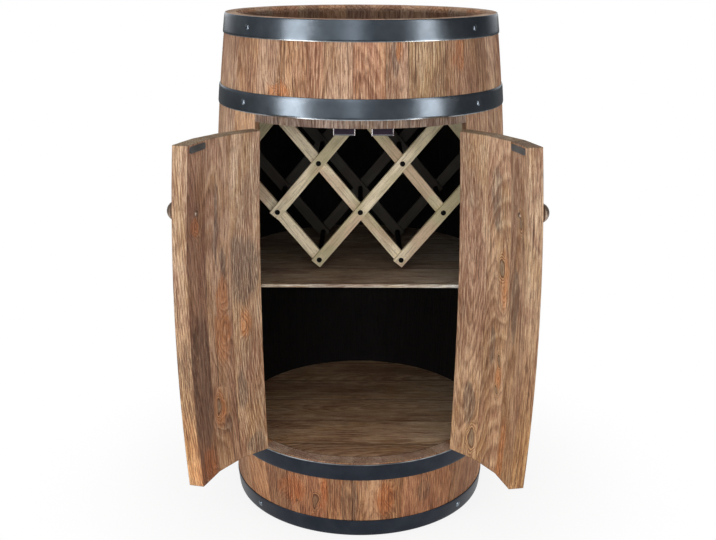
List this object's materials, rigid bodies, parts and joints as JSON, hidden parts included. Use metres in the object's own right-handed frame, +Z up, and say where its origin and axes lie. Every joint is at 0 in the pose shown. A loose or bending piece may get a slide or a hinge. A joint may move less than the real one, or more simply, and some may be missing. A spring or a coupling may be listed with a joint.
{
  "type": "barrel bar cabinet",
  "caption": "Upright barrel-shaped bar cabinet of bulged wooden staves in steel hoops, with a pair of curved doors, a diamond wine rack over a shelf, and a bottle compartment below.",
  "frame": {"origin": "centre of the barrel's foot, on the surface that it stands on", "axes": "+Z up along the barrel's axis, the doors face -Y, +X to the right as seen from the front"},
  "size_m": [0.5205, 0.5609, 0.8],
  "materials": {
    "stave_wood": "brushed and weathered, dull",
    "board_wood": "dark stained, dull",
    "rack_wood": "planed, unpolished",
    "hoop_steel": "blued, satin",
    "rod_steel": "black, semi gloss",
    "hinge_steel": "blackened, dull",
    "knob_metal": "aged, satin",
    "plate_steel": "dark, satin",
    "catch_nickel": "nickel plated",
    "magnet": "dark, dull"
  },
  "bodies": {
    "cabinet": {"barrel_hinge_leaves": "hinge_steel", "barrel_hinge_screws": "hinge_steel", "bottom_head": "board_wood", "catch_housings": "catch_nickel", "catch_magnets": "magnet", "catch_rail": "board_wood", "ceiling_board": "board_wood", "floor_board": "board_wood", "front_falling_slats": "rack_wood", "front_rising_slats": "rack_wood", "hinge_pins": "hinge_steel", "hoop_bottom": "hoop_steel", "hoop_lower": "hoop_steel", "hoop_rivets": "hoop_steel", "hoop_top": "hoop_steel", "hoop_upper": "hoop_steel", "lower_front_staves": "stave_wood", "middle_shelf": "board_wood", "rack_rods": "rod_steel", "rear_falling_slats": "rack_wood", "rear_rising_slats": "rack_wood", "shelf_cleats": "board_wood", "stave_01": "stave_wood", "stave_02": "stave_wood", "stave_03": "stave_wood", "stave_04": "stave_wood", "stave_05": "stave_wood", "stave_06": "stave_wood", "stave_07": "stave_wood", "stave_08": "stave_wood", "stave_09": "stave_wood", "stave_10": "stave_wood", "stave_11": "stave_wood", "stave_12": "stave_wood", "stave_13": "stave_wood", "stave_14": "stave_wood", "stave_15": "stave_wood", "stave_16": "stave_wood", "stave_17": "stave_wood", "stave_18": "stave_wood", "stave_19": "stave_wood", "top_head": "board_wood", "upper_front_staves": "stave_wood"},
    "left_door": {"left_door_board_1": "stave_wood", "left_door_board_2": "stave_wood", "left_door_board_3": "stave_wood", "left_hinge_leaves": "hinge_steel", "left_hinge_screws": "hinge_steel", "left_knob": "knob_metal", "left_knob_screw": "knob_metal", "left_strike_plate": "plate_steel"},
    "right_door": {"right_door_board_1": "stave_wood", "right_door_board_2": "stave_wood", "right_door_board_3": "stave_wood", "right_hinge_leaves": "hinge_steel", "right_hinge_screws": "hinge_steel", "right_knob": "knob_metal", "right_knob_screw": "knob_metal", "right_strike_plate": "plate_steel"}
  },
  "joints": [
    {"name": "left_door_hinge", "type": "hinge", "parent": "cabinet", "child": "left_door", "pos_m": [-0.16055, -0.17338, 0.4], "axis": [0, 0, 1], "range_deg": [-32, 103]},
    {"name": "right_door_hinge", "type": "hinge", "parent": "cabinet", "child": "right_door", "pos_m": [0.16055, -0.17338, 0.4], "axis": [0, 0, 1], "range_deg": [-99.5, 36]}
  ]
}
